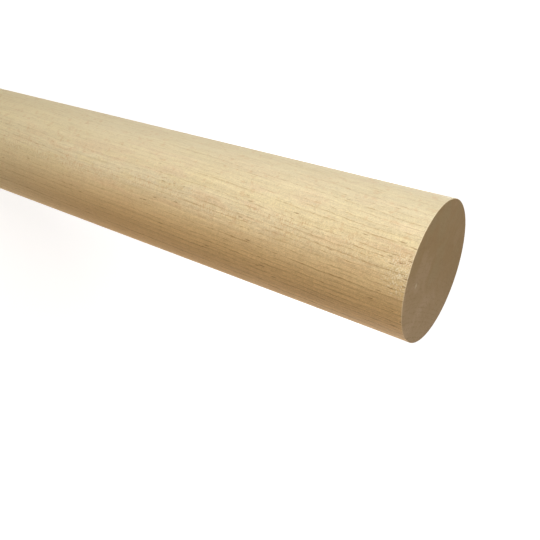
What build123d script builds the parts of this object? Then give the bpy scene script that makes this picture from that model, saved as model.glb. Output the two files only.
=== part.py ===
from build123d import *
import os

# Hardwood dowel rod: one straight round stick, sanded smooth along its length
# and sawn square across both ends. Millimetres.
# Frame: the rod stands on its foot end. The origin is the centre of the foot
# face, and +Z runs up the rod's axis to the head face.

# Driving dimensions
rod_diameter = 2 * IN    # nominal stock size, over the sanded side
rod_length = 12 * IN     # between the two sawn faces
head_ease = 0.30         # radius of the sanded edge round the head face
foot_ease = 0.30         # radius of the sanded edge round the foot face

os.makedirs("parts", exist_ok=True)

# The stick: the round section run up its full length. A light pass of sandpaper
# takes off each sawn edge, so that it is crisp but not sharp.
with BuildPart() as dowel_rod:
    with BuildSketch(Plane.XY):
        Circle(rod_diameter / 2)
    extrude(amount=rod_length)
    fillet(dowel_rod.faces().sort_by(Axis.Z)[0].edges(), radius=foot_ease)
    fillet(dowel_rod.faces().sort_by(Axis.Z)[-1].edges(), radius=head_ease)

dowel_rod.part.label = "dowel_rod"
export_step(dowel_rod.part, "parts/dowel_rod.step")
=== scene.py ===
import math
import bpy
from mathutils import Matrix, Vector
from types import SimpleNamespace


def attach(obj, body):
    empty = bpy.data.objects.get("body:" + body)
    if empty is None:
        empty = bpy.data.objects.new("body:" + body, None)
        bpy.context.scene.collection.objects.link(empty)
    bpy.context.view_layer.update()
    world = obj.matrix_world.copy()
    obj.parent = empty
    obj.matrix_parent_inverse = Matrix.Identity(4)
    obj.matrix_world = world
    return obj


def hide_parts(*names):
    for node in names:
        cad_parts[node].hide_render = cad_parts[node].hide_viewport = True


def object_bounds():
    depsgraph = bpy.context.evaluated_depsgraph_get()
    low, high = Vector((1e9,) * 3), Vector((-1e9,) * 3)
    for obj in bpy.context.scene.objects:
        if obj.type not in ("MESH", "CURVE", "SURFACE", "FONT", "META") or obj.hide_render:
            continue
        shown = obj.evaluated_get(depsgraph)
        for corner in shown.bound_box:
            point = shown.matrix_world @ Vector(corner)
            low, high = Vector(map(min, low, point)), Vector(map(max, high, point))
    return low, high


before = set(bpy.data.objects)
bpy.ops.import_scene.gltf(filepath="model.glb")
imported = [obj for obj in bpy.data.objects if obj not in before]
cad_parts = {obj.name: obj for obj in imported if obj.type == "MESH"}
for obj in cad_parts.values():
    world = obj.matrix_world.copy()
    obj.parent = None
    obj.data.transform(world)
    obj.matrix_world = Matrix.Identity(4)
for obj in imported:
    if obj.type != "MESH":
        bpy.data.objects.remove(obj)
cadLow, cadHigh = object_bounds()

mm = 0.001                              # the scene is in metres
headZ = cadHigh.z                       # height of the sawn head face
rodRadius = (cadHigh.x - cadLow.x) / 2
fullTurn = 2 * math.pi


def put(tree, kind, inputs=None, **settings):
    # adds one node, sets its fields, then fills or links its sockets
    made = tree.nodes.new(kind)
    for name, value in settings.items():
        setattr(made, name, value)
    for key, value in (inputs or {}).items():
        if isinstance(value, bpy.types.NodeSocket):
            tree.links.new(value, made.inputs[key])
        else:
            made.inputs[key].default_value = value
    return made


def calc(tree, operation, *values):
    made = put(tree, "ShaderNodeMath", dict(enumerate(values)), operation=operation)
    return made.outputs[0]


def move(tree, operation, *values):
    # the same for vectors
    sockets = dict(enumerate(values))
    if operation == "SCALE":
        sockets = {0: values[0], "Scale": values[1]}
    made = put(tree, "ShaderNodeVectorMath", sockets, operation=operation)
    return made.outputs["Value" if operation == "LENGTH" else "Vector"]


def remap(tree, value, low, high, toLow=0.0, toHigh=1.0, kind="SMOOTHSTEP"):
    sockets = {"Value": value, "From Min": low, "From Max": high, "To Min": toLow, "To Max": toHigh}
    return put(tree, "ShaderNodeMapRange", sockets, interpolation_type=kind).outputs["Result"]


def noise(tree, vector, scale=1.0, detail=2.0, roughness=0.5, seed=None):
    # a noise value from 0 to 1
    sockets = {"Vector": vector, "Scale": scale, "Detail": detail, "Roughness": roughness}
    if seed is None:
        return put(tree, "ShaderNodeTexNoise", sockets, noise_dimensions="3D").outputs[0]
    sockets["W"] = seed
    return put(tree, "ShaderNodeTexNoise", sockets, noise_dimensions="4D").outputs[0]


def stretched(tree, vector, x, y, z):
    # a vector counted in grains of x, y and z millimetres
    return move(tree, "MULTIPLY", vector, (1 / x, 1 / y, 1 / z))


# The stick itself, a lathe form made of five patches: foot face, foot edge,
# side, head edge and head face. Sizes of the relief run along x, y and z, in
# millimetres.
rodPlan = {
    "sides": 480,                       # facets round the section
    "sideRows": 120,                    # rows of faces from foot to head
    "faceRows": 28,                     # rings of faces on each sawn end
    "faceCrowding": 1.5,                # how far the rings crowd towards the rim
    "edgeRows": 4,                      # rows round each eased edge
    "crowding": 0.95,                   # how far the rows crowd towards the edges
    "edgeEase": 0.30 * mm,              # radius sanded onto the sawn edges
    "weld": 0.002 * mm,                 # patches closer than this are joined
    "waviness": 0.05 * mm,              # slow unevenness that sanding leaves on the side
    "wavinessSize": (18, 18, 70),
    "raisedGrain": 0.010 * mm,
    "raisedGrainSize": (0.9, 0.9, 30),
    "sawMarks": 0.015 * mm,             # ridges that the saw leaves across the end grain
    "sawMarkSize": (40, 1.1, 40),
    "nickAt": (6.0 * mm, -15.5 * mm),   # a small bruise in the head face
    "nickSqueeze": (0.62, 0.95, 2.0),   # how narrow it is along x, y and z
    "nickSlope": (0.15, 1.0),           # where its wall begins and ends
    "nickDepth": 0.12 * mm,
    "seed": 7.0,
}

# The flat chart for texture baking: the side unrolled, the two ends below it.
bakeChart = {
    "sideAcross": (0.01, 0.99),
    "sideUp": (0.30, 0.81),
    "footAt": (0.12, 0.15),
    "headAt": (0.36, 0.15),
    "endScale": 3.2,                    # chart widths to a metre of an end
}


def addPatch(tree, sides, rows, start, end, endAt=None, rounded=False, crowd=0.0, flip=False):
    # a grid wound round the axis between two (radius, height) points; endAt places
    # a patch of an end on the chart, and a patch without it is the side
    grid = put(tree, "GeometryNodeMeshGrid", {
        "Size X": 1.0,
        "Size Y": 1.0,
        "Vertices X": calc(tree, "ADD", sides, 1.0),
        "Vertices Y": calc(tree, "ADD", rows, 1.0),
    })
    place = put(tree, "GeometryNodeInputPosition").outputs[0]
    cell = put(tree, "ShaderNodeSeparateXYZ", {0: place})
    around = calc(tree, "ADD", cell.outputs["X"], 0.5)
    along = calc(tree, "ADD", cell.outputs["Y"], 0.5)
    if endAt is None:                   # finer rows towards both ends
        swing = calc(tree, "SINE", calc(tree, "MULTIPLY", along, fullTurn))
        swing = calc(tree, "MULTIPLY", swing, calc(tree, "DIVIDE", crowd, fullTurn))
        along = calc(tree, "SUBTRACT", along, swing)
    elif not rounded:                   # finer rings towards the rim of a face
        rest = calc(tree, "POWER", calc(tree, "SUBTRACT", 1.0, along), rodPlan["faceCrowding"])
        along = calc(tree, "SUBTRACT", 1.0, rest)
    outward, upward = along, along
    if rounded:                         # a quarter circle from the face to the side
        quarter = calc(tree, "MULTIPLY", along, fullTurn / 4)
        outward = calc(tree, "SINE", quarter)
        upward = calc(tree, "SUBTRACT", 1.0, calc(tree, "COSINE", quarter))
    radius = remap(tree, outward, 0.0, 1.0, start[0], end[0], "LINEAR")
    height = remap(tree, upward, 0.0, 1.0, start[1], end[1], "LINEAR")
    angle = calc(tree, "MULTIPLY", around, fullTurn)
    x = calc(tree, "MULTIPLY", calc(tree, "COSINE", angle), radius)
    y = calc(tree, "MULTIPLY", calc(tree, "SINE", angle), radius)
    if endAt is None:
        chartX = remap(tree, along, 0.0, 1.0, *bakeChart["sideAcross"], "LINEAR")
        chartY = remap(tree, around, 0.0, 1.0, *bakeChart["sideUp"], "LINEAR")
    else:
        chartX = calc(tree, "MULTIPLY_ADD", x, bakeChart["endScale"], endAt[0])
        chartY = calc(tree, "MULTIPLY_ADD", y, bakeChart["endScale"], endAt[1])
    charted = put(tree, "GeometryNodeStoreNamedAttribute", {
        "Geometry": grid.outputs["Mesh"],
        "Name": "OFBake",
    }, data_type="FLOAT2", domain="CORNER")
    flat = put(tree, "ShaderNodeCombineXYZ", {"X": chartX, "Y": chartY}).outputs[0]
    tree.links.new(flat, charted.inputs["Value"])
    wound = put(tree, "GeometryNodeSetPosition", {
        "Geometry": charted.outputs[0],
        "Position": put(tree, "ShaderNodeCombineXYZ", {"X": x, "Y": y, "Z": height}).outputs[0],
    }).outputs[0]
    return put(tree, "GeometryNodeFlipFaces", {"Mesh": wound}).outputs[0] if flip else wound


def nickShape(tree, spot):
    # 1 at the middle of the bruise in the head face, 0 away from it
    x, y = rodPlan["nickAt"]
    away = move(tree, "SUBTRACT", spot, (x / mm, y / mm, headZ / mm))
    far = move(tree, "LENGTH", move(tree, "MULTIPLY", away, rodPlan["nickSqueeze"]))
    return remap(tree, far, *rodPlan["nickSlope"], 1.0, 0.0)


def workedDepth(tree, facing, given):
    # how far hand and saw have gone into the nominal shape, at each point
    place = put(tree, "GeometryNodeInputPosition").outputs[0]
    spot = move(tree, "SCALE", place, 1 / mm)
    upright = calc(tree, "ABSOLUTE", put(tree, "ShaderNodeSeparateXYZ", {0: facing}).outputs["Z"])
    onFace = remap(tree, upright, 0.85, 0.98)
    onSide = calc(tree, "SUBTRACT", 1.0, remap(tree, upright, 0.02, 0.2))
    seed = given["Seed"]
    slow = noise(tree, stretched(tree, spot, *rodPlan["wavinessSize"]), detail=1.0, seed=seed)
    grain = noise(tree, stretched(tree, spot, *rodPlan["raisedGrainSize"]), detail=1.0, seed=seed)
    saw = noise(tree, stretched(tree, spot, *rodPlan["sawMarkSize"]), detail=1.0, seed=seed)
    sideDip = calc(tree, "ADD", calc(tree, "MULTIPLY", slow, given["Waviness"]),
                   calc(tree, "MULTIPLY", grain, given["Raised Grain"]))
    faceDip = calc(tree, "ADD", calc(tree, "MULTIPLY", saw, given["Saw Marks"]),
                   calc(tree, "MULTIPLY", nickShape(tree, spot), given["Nick Depth"]))
    return calc(tree, "ADD", calc(tree, "MULTIPLY", sideDip, onSide),
                calc(tree, "MULTIPLY", faceDip, onFace))


def buildRodTree(wood):
    tree = bpy.data.node_groups.new("sawnStick", "GeometryNodeTree")
    wanted = {
        "Sides": ("NodeSocketInt", rodPlan["sides"]),
        "Side Rows": ("NodeSocketInt", rodPlan["sideRows"]),
        "Face Rows": ("NodeSocketInt", rodPlan["faceRows"]),
        "Edge Rows": ("NodeSocketInt", rodPlan["edgeRows"]),
        "Crowding": ("NodeSocketFloat", rodPlan["crowding"]),
        "Radius": ("NodeSocketFloat", rodRadius),
        "Length": ("NodeSocketFloat", headZ),
        "Edge Ease": ("NodeSocketFloat", rodPlan["edgeEase"]),
        "Waviness": ("NodeSocketFloat", rodPlan["waviness"]),
        "Raised Grain": ("NodeSocketFloat", rodPlan["raisedGrain"]),
        "Saw Marks": ("NodeSocketFloat", rodPlan["sawMarks"]),
        "Nick Depth": ("NodeSocketFloat", rodPlan["nickDepth"]),
        "Seed": ("NodeSocketFloat", rodPlan["seed"]),
        "Wood": ("NodeSocketMaterial", wood),
    }
    values = {}
    for name, (kind, value) in wanted.items():
        socket = tree.interface.new_socket(name, in_out="INPUT", socket_type=kind)
        values[socket.identifier] = value
    tree.interface.new_socket("Stick", in_out="OUTPUT", socket_type="NodeSocketGeometry")
    given = put(tree, "NodeGroupInput").outputs

    radius, length, ease = given["Radius"], given["Length"], given["Edge Ease"]
    faceRadius = calc(tree, "SUBTRACT", radius, ease)
    headEdge = calc(tree, "SUBTRACT", length, ease)
    sides, faceRows, edgeRows = given["Sides"], given["Face Rows"], given["Edge Rows"]
    footAt, headAt = bakeChart["footAt"], bakeChart["headAt"]
    patches = [
        addPatch(tree, sides, faceRows, (0.0, 0.0), (faceRadius, 0.0), footAt),
        addPatch(tree, sides, edgeRows, (faceRadius, 0.0), (radius, ease), footAt, rounded=True),
        addPatch(tree, sides, given["Side Rows"], (radius, ease), (radius, headEdge),
                 crowd=given["Crowding"]),
        addPatch(tree, sides, faceRows, (0.0, length), (faceRadius, length), headAt, flip=True),
        addPatch(tree, sides, edgeRows, (faceRadius, length), (radius, headEdge), headAt,
                 rounded=True, flip=True),
    ]
    joined = put(tree, "GeometryNodeJoinGeometry")
    for patch in patches:
        tree.links.new(patch, joined.inputs[0])
    closed = put(tree, "GeometryNodeMergeByDistance", {
        "Geometry": joined.outputs[0],
        "Distance": rodPlan["weld"],
    }).outputs[0]

    # the relief only ever goes inwards, so the stick keeps its nominal size
    facing = put(tree, "GeometryNodeInputNormal").outputs[0]
    dip = workedDepth(tree, facing, given)
    worked = put(tree, "GeometryNodeSetPosition", {
        "Geometry": closed,
        "Offset": move(tree, "SCALE", facing, calc(tree, "MULTIPLY", dip, -1.0)),
    }).outputs[0]
    smooth = put(tree, "GeometryNodeSetShadeSmooth", {"Geometry": worked, "Shade Smooth": True}).outputs[0]
    real = put(tree, "GeometryNodeRealizeInstances", {"Geometry": smooth}).outputs[0]
    ended = put(tree, "GeometryNodeSetMaterial", {"Geometry": real, "Material": given["Wood"]}).outputs[0]
    put(tree, "NodeGroupOutput", {0: ended})
    return tree, values


def makeRod(wood):
    tree, values = buildRodTree(wood)
    seedMesh = bpy.data.meshes.new("stickSeed")
    maker = bpy.data.objects.new("stickMaker", seedMesh)
    bpy.context.scene.collection.objects.link(maker)
    modifier = maker.modifiers.new("sawnStick", "NODES")
    modifier.node_group = tree
    for identifier, value in values.items():
        modifier[identifier] = value
    bpy.context.view_layer.update()
    shaped = maker.evaluated_get(bpy.context.evaluated_depsgraph_get())
    mesh = bpy.data.meshes.new_from_object(shaped, preserve_all_data_layers=True,
                                           depsgraph=bpy.context.evaluated_depsgraph_get())
    mesh.name = "mapleRod"
    rod = bpy.data.objects.new("maple_rod", mesh)
    bpy.context.scene.collection.objects.link(rod)
    bpy.data.objects.remove(maker)
    return rod


# Hard maple. Colours are linear. Places and sizes in the wood are in millimetres,
# and x grows from the sapwood towards the heart. A fade is two pairs, each a
# place and how strong something is there.
mapleLook = {
    "cream": (0.775, 0.640, 0.384, 1),
    "paleCream": (0.785, 0.665, 0.425, 1),
    "rosyCream": (0.768, 0.606, 0.376, 1),
    "goldCream": (0.770, 0.640, 0.368, 1),
    "sapwood": (0.757, 0.652, 0.428, 1),    # the outer side
    "honeyAndShade": (0.722, 0.470, 0.202, 1),      # the side nearest to the heart, partly heartwood colour and partly painted warm shade
    "smokyShade": (0.660, 0.470, 0.215, 1),      # a brown tinge round the torn fibre, partly painted shade
    # pale wood, also the colour of the painted highlight and sheen
    "bright": (0.930, 0.825, 0.580, 1),
    "ringLine": (0.520, 0.345, 0.150, 1),
    "hardLine": (0.400, 0.225, 0.080, 1),
    "fleckColour": (0.640, 0.400, 0.200, 1),
    "speckColour": (0.290, 0.150, 0.050, 1),
    "endGrain": (0.500, 0.340, 0.158, 1),
    "endOlive": (0.500, 0.360, 0.174, 1),
    "endRosy": (0.700, 0.525, 0.322, 1),
    "endPale": (0.760, 0.640, 0.430, 1),
    "endDark": (0.400, 0.255, 0.115, 1),
    "toneTilt": (0.92, 1.00, 1.06),         # how far red, green and blue follow the grain

    "pithAt": (120.0, 4.0),                 # the tree's middle, well outside the stick
    "lean": 0.035,                          # how far the grain leans across the stick
    "wander": 4.0,                          # slow bends of the grain
    "wanderSize": (45, 45, 110),
    "ripple": 1.0,                          # its finer wave
    "rippleSize": (5, 5, 16),
    "fray": 0.55,                           # and the ragged edge of each line
    "ringSpacing": 1.75,
    "fineSpacing": 0.7175,                  # of the faint lines between the rings
    "yearDrift": 2.5,                       # how many years wide and narrow layers gain or lose
    "yearDriftRate": 0.22,                  # turns of that drift to a ring
    "faintestYear": 0.45,                   # strength of the weakest year's lines
    # shares of one year's growth, outwards: where its dark late wood and the thin
    # hard line in it come and go
    "lateFrom": 0.64,
    "fineLateFrom": 0.45,
    "lateFull": 0.90,
    "lateFall": (0.93, 1.0),
    "hardRise": (0.885, 0.920),
    "hardFall": (0.965, 1.0),

    "acrossFade": ((-20, 0.46), (14, 1.42)),  # all of the grain, by x
    "alongFade": ((10, 1.20), (150, 0.72)),  # and by the distance from the head
    "faceFade": ((2, 0.82), (7, 1.10)),     # ring lines, by the distance from tornAt
    "heartFade": ((5, 1.0), (12, 1.24)),    # and by x
    "fineFade": ((-1, 1.0), (12, 0.45)),    # the faint lines, by x
    "calmFade": ((-1, 1.0), (12, 0.72)),    # the light and dark grain, by x

    "fleckSpan": (2.1, 6.0),                # flecks thin out this far from x = 0
    "tornAt": 4.0,                          # x of the torn fibre at the head
    "tornDown": (2.0, 13.0),                # where it ends, down from the head
    "tornAcross": (3.0, 10.0),              # and to either side
    # where the brown tinge and painted shade below the head reach, and how strong they get
    "smokyShadeDown": (5.0, 65.0),
    "smokyShadeAcross": (4.0, 15.0),
    "smokyShadeMost": 0.30,
    "dashSize": (0.9, 0.9, 5.5),

    "endDepth": (0.04, 0.13),               # the end grain gives way to the side over this
    "sideRoughness": (0.55, 0.68),
    "endRoughness": 0.78,
    "specular": 0.20,
    "bumpDepth": 0.04 * mm,
}

# The wood's patterns. Each one follows the fibre as it has grown, or lies round
# the pith, or sits in the bare stick. The sizes are x, y and z, and x counts
# outwards from the pith where the pattern lies round it.
maplePatterns = {
    # what frays and breaks the ring lines, their hard edges and the faint lines
    "ragged": {"on": "grown", "size": (0.5, 0.5, 2.2), "detail": 1.0, "seed": 6.0},
    "broken": {"on": "radial", "size": (1.6, 1.6, 12), "detail": 3.0},
    "dashed": {"on": "radial", "size": (1.2, 1.2, 3.2), "detail": 2.0, "seed": 7.0},
    "fineBroken": {"on": "radial", "size": (1.6, 1.6, 11), "detail": 2.0, "seed": 5.0},
    # light and dark, from the finest fibre to broad bands
    "fibre": {"on": "grown", "size": (0.36, 0.36, 5.5), "detail": 3.0, "roughness": 0.65},
    "speckle": {"on": "grown", "size": (0.26, 0.26, 0.42), "detail": 1.0, "seed": 12.0},
    "mottle": {"on": "grown", "size": (0.9, 0.9, 1.1), "detail": 3.0, "roughness": 0.7, "seed": 2.0},
    "streak": {"on": "radial", "size": (0.9, 2.0, 40), "detail": 2.0},
    "broad": {"on": "radial", "size": (2.6, 5.0, 70), "detail": 1.0, "seed": 14.0},
    "curl": {"on": "radial", "size": (9, 9, 3.4), "detail": 1.0, "seed": 4.0},
    # colour
    "band": {"on": "radial", "size": (6.0, 18, 160), "detail": 1.0},
    "tint": {"on": "radial", "size": (3.2, 7, 17), "detail": 1.0, "seed": 3.0},
    "stain": {"on": "radial", "size": (1.8, 1.8, 2.6), "detail": 1.0, "seed": 13.0},
    # marks: ray flecks and where they gather, where dashes gather, and torn fibre with its painted sheen
    "ray": {"on": "radial", "size": (1.8, 0.18, 0.42), "detail": 1.0},
    "rayPatch": {"on": "radial", "size": (5.0, 5.0, 14), "detail": 1.0},
    "gathered": {"on": "radial", "size": (3.0, 3.0, 11), "detail": 1.0, "seed": 9.0},
    "crinkleSheen": {"on": "grown", "size": (0.55, 0.40, 0.42), "detail": 2.0, "seed": 11.0},
    # end grain
    "pores": {"on": "spot", "size": (0.22, 0.22, 0.22), "detail": 2.0, "roughness": 0.6},
    "endRay": {"on": "radial", "size": (5.0, 0.24, 30), "detail": 1.0, "seed": 2.0},
    "cloud": {"on": "spot", "size": (12, 12, 12), "detail": 2.0, "seed": 1.5},
}


def blend(tree, factor, first, second, kind="MIX"):
    sockets = {0: factor, 6: first, 7: second}
    return put(tree, "ShaderNodeMix", sockets, data_type="RGBA", blend_type=kind).outputs[2]


def layered(tree, colour, layers):
    # lays colours over one another, each by a guide, the span of the guide over
    # which it comes in, how strong it gets, and its name
    for guide, low, high, most, shade in layers:
        colour = blend(tree, remap(tree, guide, low, high, 0.0, most), colour, mapleLook[shade])
    return colour


def fade(tree, value, name, kind="SMOOTHSTEP"):
    (low, toLow), (high, toHigh) = mapleLook[name]
    return remap(tree, value, low, high, toLow, toHigh, kind)


def ridge(tree, value, rise, fall):
    # grows over the first span and goes down again over the second
    return calc(tree, "MULTIPLY", remap(tree, value, *rise), remap(tree, value, *fall, 1.0, 0.0))


def wandered(tree, vector, size, reach):
    # shifts a position by up to about half the reach, slowly, over the given size
    push = put(tree, "ShaderNodeTexNoise", {
        "Vector": stretched(tree, vector, *size),
        "Scale": 1.0,
        "Detail": 1.0,
    }, noise_dimensions="3D").outputs["Color"]
    push = move(tree, "SUBTRACT", push, (0.5, 0.5, 0.5))
    return move(tree, "ADD", vector, move(tree, "SCALE", push, reach))


def growthLines(tree, outwards, spacing, lateFrom, offset):
    # the soft late wood of each growth layer, and the thin hard line that ends it
    look = mapleLook
    shift = put(tree, "ShaderNodeCombineXYZ", {"X": outwards, "Y": offset}).outputs[0]
    uneven = noise(tree, shift, scale=look["yearDriftRate"] / spacing, detail=1.0)
    even = calc(tree, "DIVIDE", outwards, spacing)
    layers = calc(tree, "MULTIPLY_ADD", uneven, look["yearDrift"], even)
    within = calc(tree, "FRACT", layers)
    year = calc(tree, "ADD", calc(tree, "FLOOR", layers), offset)
    luck = put(tree, "ShaderNodeTexWhiteNoise", {"W": year}, noise_dimensions="1D").outputs["Value"]
    strength = remap(tree, luck, 0.0, 1.0, look["faintestYear"], 1.0, "LINEAR")
    soft = ridge(tree, within, (lateFrom, look["lateFull"]), look["lateFall"])
    hard = ridge(tree, within, look["hardRise"], look["hardFall"])
    return calc(tree, "MULTIPLY", soft, strength), calc(tree, "MULTIPLY", hard, strength)


def placeInTree(tree):
    # where a point of the stick lies in the tree that it was cut from
    look = mapleLook
    spot = move(tree, "SCALE", put(tree, "ShaderNodeTexCoord").outputs["Object"], 1 / mm)
    # the tree never grows dead straight: a slow wander and a finer wave
    grown = wandered(tree, spot, look["wanderSize"], look["wander"])
    grown = wandered(tree, grown, look["rippleSize"], look["ripple"])
    axis = put(tree, "ShaderNodeSeparateXYZ", {0: grown}).outputs
    # distance from the leaning pith, which the growth layers follow
    leaning = calc(tree, "MULTIPLY_ADD", axis["Z"], -look["lean"], axis["X"])
    fromPith = put(tree, "ShaderNodeCombineXYZ", {
        "X": calc(tree, "SUBTRACT", leaning, look["pithAt"][0]),
        "Y": calc(tree, "SUBTRACT", axis["Y"], look["pithAt"][1]),
    }).outputs[0]
    outwards = move(tree, "LENGTH", fromPith)
    radial = put(tree, "ShaderNodeCombineXYZ", {"X": outwards, "Y": axis["Y"], "Z": axis["Z"]})
    plain = put(tree, "ShaderNodeSeparateXYZ", {0: spot}).outputs
    fromHead = calc(tree, "SUBTRACT", headZ / mm, plain["Z"])
    return SimpleNamespace(
        spot=spot,
        grown=grown,
        radial=radial.outputs[0],
        outwards=outwards,
        heartward=axis["X"],
        fromHead=fromHead,
        fromEnd=calc(tree, "MINIMUM", plain["Z"], fromHead),
        fromQuartered=calc(tree, "ABSOLUTE", plain["X"]),
        fromTorn=calc(tree, "ABSOLUTE", calc(tree, "SUBTRACT", plain["X"], look["tornAt"])),
    )


def readPatterns(tree, at):
    made = {}
    for name, plan in maplePatterns.items():
        vector = stretched(tree, getattr(at, plan["on"]), *plan["size"])
        made[name] = noise(tree, vector, detail=plan["detail"], roughness=plan.get("roughness", 0.5),
                           seed=plan.get("seed"))
    return SimpleNamespace(**made)


def besideTorn(tree, at, down, across):
    # 1 at the head on the line of torn fibre, 0 past these spans
    return calc(tree, "MULTIPLY", remap(tree, at.fromHead, *down, 1.0, 0.0),
                remap(tree, at.fromTorn, *across, 1.0, 0.0))


def drawMarks(tree, at, seen):
    # what has a shape of its own on the ground colour, each from 0 to about 1,
    # and how strong the light and dark grain is between them
    look = mapleLook
    # the grain is fainter in the outer sapwood and towards the foot
    bold = calc(tree, "MULTIPLY", fade(tree, at.heartward, "acrossFade", "LINEAR"),
                fade(tree, at.fromHead, "alongFade"))
    # the ring lines are fainter in line with the torn fibre, and crisper towards the heart
    drawn = calc(tree, "MULTIPLY", fade(tree, at.fromTorn, "faceFade"),
                 fade(tree, at.heartward, "heartFade"))
    drawn = calc(tree, "MULTIPLY", bold, drawn)
    frayed = calc(tree, "MULTIPLY_ADD", seen.ragged, look["fray"], at.outwards)
    line, hardLine = growthLines(tree, frayed, look["ringSpacing"], look["lateFrom"], 0.0)
    fineLine, _ = growthLines(tree, frayed, look["fineSpacing"], look["fineLateFrom"], 40.0)
    line = calc(tree, "MULTIPLY", line, remap(tree, seen.broken, 0.36, 0.64, 0.15, 1.0))
    hardLine = calc(tree, "MULTIPLY", hardLine, remap(tree, seen.dashed, 0.38, 0.60, 0.35, 1.0))
    fineLine = calc(tree, "MULTIPLY", fineLine, remap(tree, seen.fineBroken, 0.40, 0.64))

    # rays: thin ribbons that point outwards, so they only show on the quartered faces
    patchy = calc(tree, "MULTIPLY", remap(tree, seen.rayPatch, 0.40, 0.60),
                  remap(tree, at.fromQuartered, *look["fleckSpan"], 1.0, 0.0))
    fleck = calc(tree, "MULTIPLY", remap(tree, seen.ray, 0.56, 0.68), patchy)
    paleFleck = calc(tree, "MULTIPLY", remap(tree, seen.ray, 0.28, 0.44, 1.0, 0.0), patchy)

    # short dark dashes along the grain, in loose clusters and in the torn fibre
    torn = besideTorn(tree, at, look["tornDown"], look["tornAcross"])
    dashes = put(tree, "ShaderNodeTexVoronoi", {
        "Vector": stretched(tree, at.grown, *look["dashSize"]),
        "Scale": 1.0,
        "Randomness": 1.0,
    }, voronoi_dimensions="3D", feature="F1")
    chance = put(tree, "ShaderNodeSeparateColor", {0: dashes.outputs["Color"]}).outputs[0]
    gathered = calc(tree, "MULTIPLY_ADD", torn, 0.36, seen.gathered)
    few = calc(tree, "GREATER_THAN", chance, remap(tree, gathered, 0.50, 0.85, 1.0, 0.42, "LINEAR"))
    dash = calc(tree, "MULTIPLY", remap(tree, dashes.outputs["Distance"], 0.08, 0.34, 1.0, 0.0), few)
    return SimpleNamespace(
        line=calc(tree, "MULTIPLY", line, drawn),
        hardLine=calc(tree, "MULTIPLY", hardLine, drawn),
        fineLine=calc(tree, "MULTIPLY", fineLine, fade(tree, at.heartward, "fineFade")),
        fleck=fleck,
        paleFleck=paleFleck,
        dash=calc(tree, "MULTIPLY", dash, bold),
        crinkleSheen=calc(tree, "MULTIPLY", remap(tree, seen.crinkleSheen, 0.50, 0.64), torn),
        toneStrength=calc(tree, "MULTIPLY", bold, fade(tree, at.heartward, "calmFade")),
    )


def colourSide(tree, at, seen, marks):
    # the ground: pale sapwood that warms towards +x, partly heartwood and partly painted warm shade, with
    # rosy and golden clouds
    look = mapleLook
    colour = layered(tree, look["cream"], (
        (seen.band, 0.35, 0.68, 1.0, "paleCream"),
        (seen.tint, 0.50, 0.64, 1.0, "rosyCream"),
        (seen.tint, 0.45, 0.31, 0.70, "goldCream"),
        (at.heartward, -3, -20, 0.75, "sapwood"),
        # painted warm shade, partly heartwood colour: warmer and darker towards +x, the side turned from
        # the key light
        (at.heartward, -6, 17, 0.95, "honeyAndShade"),
        (at.fromHead, 120, 250, 0.60, "goldCream"),
    ))
    # painted shade, partly a real tinge: browner and darker below the head, round the torn fibre
    smokedAndShaded = besideTorn(tree, at, look["smokyShadeDown"], look["smokyShadeAcross"])
    colour = blend(tree, calc(tree, "MULTIPLY", smokedAndShaded, look["smokyShadeMost"]), colour, look["smokyShade"])

    # light and dark grain, in which the dark is also the warmer
    tone = 0.0
    for value, weight in (
        (seen.broad, 0.24), (seen.streak, 0.34), (seen.fibre, 0.44),
        (seen.mottle, 0.44), (seen.speckle, 0.62), (seen.curl, 0.12),
    ):
        tone = calc(tree, "MULTIPLY_ADD", calc(tree, "SUBTRACT", value, 0.5), weight, tone)
    tone = calc(tree, "MULTIPLY", tone, marks.toneStrength)
    toned = move(tree, "MULTIPLY_ADD", tone, look["toneTilt"], (1, 1, 1))
    colour = blend(tree, 1.0, colour, toned, "MULTIPLY")
    return layered(tree, colour, (
        (seen.stain, 0.57, 0.72, 0.30, "fleckColour"),
        (marks.fineLine, 0.0, 1.0, 0.24, "ringLine"),
        (marks.line, 0.0, 1.5, 0.62, "ringLine"),
        (marks.hardLine, 0.0, 1.45, 1.00, "hardLine"),
        (marks.fleck, 0.0, 1.0, 0.58, "fleckColour"),
        (marks.paleFleck, 0.0, 1.0, 0.28, "bright"),
        # torn, raised fibre by the head, with a painted sheen on it
        (marks.crinkleSheen, 0.0, 1.0, 0.74, "bright"),
        (marks.dash, 0.0, 1.4, 0.84, "speckColour"),
        (at.fromEnd, 0.50, 0.15, 0.36, "bright"),  # painted highlight along the rim of each end
    ))


def colourEnds(tree, at, seen, marks):
    # end grain: darker, cloudy, with open pores, fine rays, faint rings and the bruise, and lighter and
    # rosier towards +x
    look = mapleLook
    rosy = calc(tree, "ADD", remap(tree, seen.cloud, 0.50, 0.66, 0.0, 0.30),
                remap(tree, at.heartward, -10, 26, 0.0, 0.7))
    colour = layered(tree, look["endGrain"], ((seen.cloud, 0.48, 0.34, 1.0, "endOlive"),))
    colour = blend(tree, rosy, colour, look["endRosy"])
    return layered(tree, colour, (
        (seen.streak, 0.50, 0.75, 0.30, "endDark"),
        (marks.line, 0.0, 1.6, 0.36, "endDark"),
        (seen.endRay, 0.55, 0.75, 0.22, "endPale"),
        (seen.pores, 0.52, 0.72, 0.20, "endDark"),
        (nickShape(tree, at.spot), 0.0, 1.0, 0.70, "endPale"),
    ))


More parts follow.
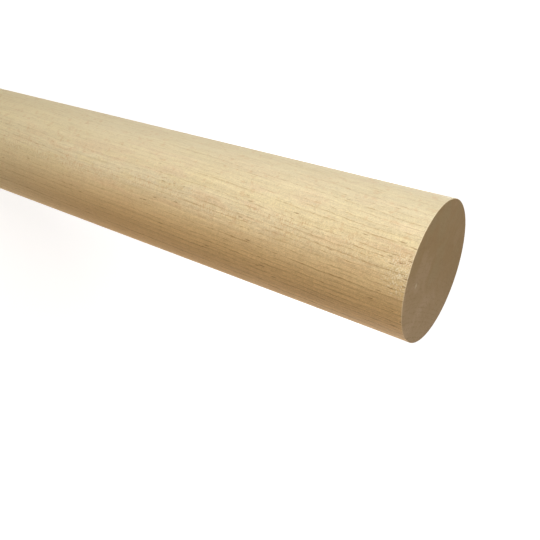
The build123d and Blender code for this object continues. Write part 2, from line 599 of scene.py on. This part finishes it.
def makeMaple():
    look = mapleLook
    wood = bpy.data.materials.new("hardMaple")
    wood.use_nodes = True
    tree = wood.node_tree
    tree.nodes.clear()
    at = placeInTree(tree)
    seen = readPatterns(tree, at)
    marks = drawMarks(tree, at, seen)
    onEnd = remap(tree, at.fromEnd, *look["endDepth"], 1.0, 0.0)
    colour = blend(tree, onEnd, colourSide(tree, at, seen, marks), colourEnds(tree, at, seen, marks))

    # relief too fine for the mesh
    ridges = calc(tree, "MULTIPLY", marks.line, -0.35)
    for value, height in (
        (seen.fibre, 0.6), (marks.fleck, -0.3), (marks.dash, -0.6), (marks.crinkleSheen, 0.8),
    ):
        ridges = calc(tree, "MULTIPLY_ADD", value, height, ridges)
    endRidges = calc(tree, "MULTIPLY", seen.pores, 0.9)
    relief = put(tree, "ShaderNodeMix", {0: onEnd, 2: ridges, 3: endRidges}, data_type="FLOAT")
    bump = put(tree, "ShaderNodeBump", {
        "Height": relief.outputs[0],
        "Strength": 1.0,
        "Distance": look["bumpDepth"],
    })
    rough = remap(tree, seen.fibre, 0.25, 0.75, *look["sideRoughness"])
    rough = put(tree, "ShaderNodeMix", {0: onEnd, 2: rough, 3: look["endRoughness"]}, data_type="FLOAT")
    shader = put(tree, "ShaderNodeBsdfPrincipled", {
        "Base Color": colour,
        "Roughness": rough.outputs[0],
        "Specular IOR Level": look["specular"],
        "Normal": bump.outputs[0],
    })
    put(tree, "ShaderNodeOutputMaterial", {"Surface": shader.outputs[0]})
    return wood


# Stage: a white floor that shows white to the camera but still takes the shadow.
studio = {
    "floorHalf": 20.0,
    "floorGrey": 0.50,
    "glowNear": 0.70,                   # what looking rays see on top of the lit floor,
    "glowFar": 1.0,                     # near the foot and far from it
    "glowFrom": 0.06,
    "glowTo": 0.60,
    "openSide": (0.19, 0.19, 0.195, 1),  # fill from the left of the viewer
    "shadeSide": (0.125, 0.076, 0.040, 1),  # and from the right
    "fillTurn": (-0.6, 0.4),            # where one fill turns into the other
}

# Softboxes: angle round from the viewer's side, distance from the axis, height
# above the head face, the height below it that they aim at, size, power and tint.
softboxes = {
    "keyBox": {"angle": 28.0, "away": 0.42, "above": 0.07, "aim": 0.04, "size": 0.27,
               "power": 1.75, "tint": (1.00, 1.00, 1.00)},
    "sideBox": {"angle": -126.0, "away": 0.80, "above": -0.02, "aim": 0.16, "size": 0.50,
                "power": 3.50, "tint": (1.00, 0.89, 0.76)},
    "backBox": {"angle": 152.0, "away": 0.80, "above": -0.02, "aim": 0.16, "size": 0.50,
                "power": 3.20, "tint": (1.00, 1.00, 1.00)},
}


def seenRays(tree):
    # 1 for rays that only look: camera, mirror and glass rays
    path = put(tree, "ShaderNodeLightPath").outputs
    both = calc(tree, "MAXIMUM", path["Is Camera Ray"], path["Is Glossy Ray"])
    return calc(tree, "MAXIMUM", both, path["Is Transmission Ray"])


def makeFloor():
    half = studio["floorHalf"]
    corners = [(-half, -half, 0), (half, -half, 0), (half, half, 0), (-half, half, 0)]
    mesh = bpy.data.meshes.new("studioFloor")
    mesh.from_pydata(corners, [], [(0, 1, 2, 3)])
    floor = bpy.data.objects.new("studio_floor", mesh)
    bpy.context.scene.collection.objects.link(floor)
    paint = bpy.data.materials.new("floorPaint")
    paint.use_nodes = True
    tree = paint.node_tree
    tree.nodes.clear()
    grey = studio["floorGrey"]
    lit = put(tree, "ShaderNodeBsdfDiffuse", {"Color": (grey, grey, grey, 1)})
    away = move(tree, "LENGTH", put(tree, "ShaderNodeTexCoord").outputs["Object"])
    shine = remap(tree, away, studio["glowFrom"], studio["glowTo"], studio["glowNear"], studio["glowFar"])
    glow = put(tree, "ShaderNodeEmission", {
        "Color": (1, 1, 1, 1),
        "Strength": calc(tree, "MULTIPLY", seenRays(tree), shine),
    })
    both = put(tree, "ShaderNodeAddShader", {0: lit.outputs[0], 1: glow.outputs[0]})
    put(tree, "ShaderNodeOutputMaterial", {"Surface": both.outputs[0]})
    mesh.materials.append(paint)


def makeWorld():
    world = bpy.data.worlds.new("studioWorld")
    bpy.context.scene.world = world
    world.use_nodes = True
    tree = world.node_tree
    tree.nodes.clear()
    way = put(tree, "ShaderNodeSeparateXYZ", {0: put(tree, "ShaderNodeTexCoord").outputs["Generated"]})
    across = remap(tree, way.outputs["X"], *studio["fillTurn"])
    fill = blend(tree, across, studio["openSide"], studio["shadeSide"])
    sky = blend(tree, seenRays(tree), fill, (1, 1, 1, 1))
    shown = put(tree, "ShaderNodeBackground", {"Color": sky, "Strength": 1.0})
    put(tree, "ShaderNodeOutputWorld", {"Surface": shown.outputs[0]})


def makeSoftboxes():
    for name, box in softboxes.items():
        lamp = bpy.data.lights.new(name, "AREA")
        lamp.shape = "SQUARE"
        lamp.size = box["size"]
        lamp.energy = box["power"]
        lamp.color = box["tint"]
        holder = bpy.data.objects.new(name, lamp)
        bpy.context.scene.collection.objects.link(holder)
        angle = math.radians(box["angle"])
        away = box["away"]
        holder.location = (-math.sin(angle) * away, -math.cos(angle) * away, headZ + box["above"])
        target = Vector((0, 0, headZ - box["aim"]))
        holder.rotation_euler = (target - holder.location).to_track_quat("-Z", "Y").to_euler()


# The camera stands off the head end and looks back along the rod, rolled so
# that the rod lies across its view. Lengths are in metres, the lens in
# millimetres.
cameraPlan = {
    "lens": 41.88,
    "sensor": 36.0,
    "reach": (0.01, 50.0),              # nearest and farthest that it sees
    "out": 0.2098,                      # in front of the rod's axis
    "aboveHead": 0.0621,                # above the head face
    "aimAcross": 0.0182,                # the point aimed at: beside the axis
    "aimBelow": 0.0623,                 # and below the head face
    "roll": 109.67,                     # degrees
}


def makeCamera():
    plan = cameraPlan
    lens = bpy.data.cameras.new("viewer")
    lens.lens = plan["lens"]
    lens.sensor_width = plan["sensor"]
    lens.clip_start, lens.clip_end = plan["reach"]
    viewer = bpy.data.objects.new("viewer", lens)
    bpy.context.scene.collection.objects.link(viewer)
    stand = Vector((0, -plan["out"], headZ + plan["aboveHead"]))
    aim = Vector((plan["aimAcross"], 0, headZ - plan["aimBelow"]))
    level = (aim - stand).to_track_quat("-Z", "Y").to_matrix().to_4x4()
    rolled = level @ Matrix.Rotation(math.radians(plan["roll"]), 4, "Z")
    viewer.matrix_world = Matrix.Translation(stand) @ rolled
    bpy.context.scene.camera = viewer


maple = makeMaple()
print("wood material ready")
rod = makeRod(maple)
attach(rod, "root")
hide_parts("dowel_rod")
print("rod ready:", len(rod.data.polygons), "faces")

makeFloor()
makeWorld()
makeSoftboxes()
makeCamera()
bpy.context.scene.view_settings.view_transform = "Standard"
print("stage, light and camera ready")
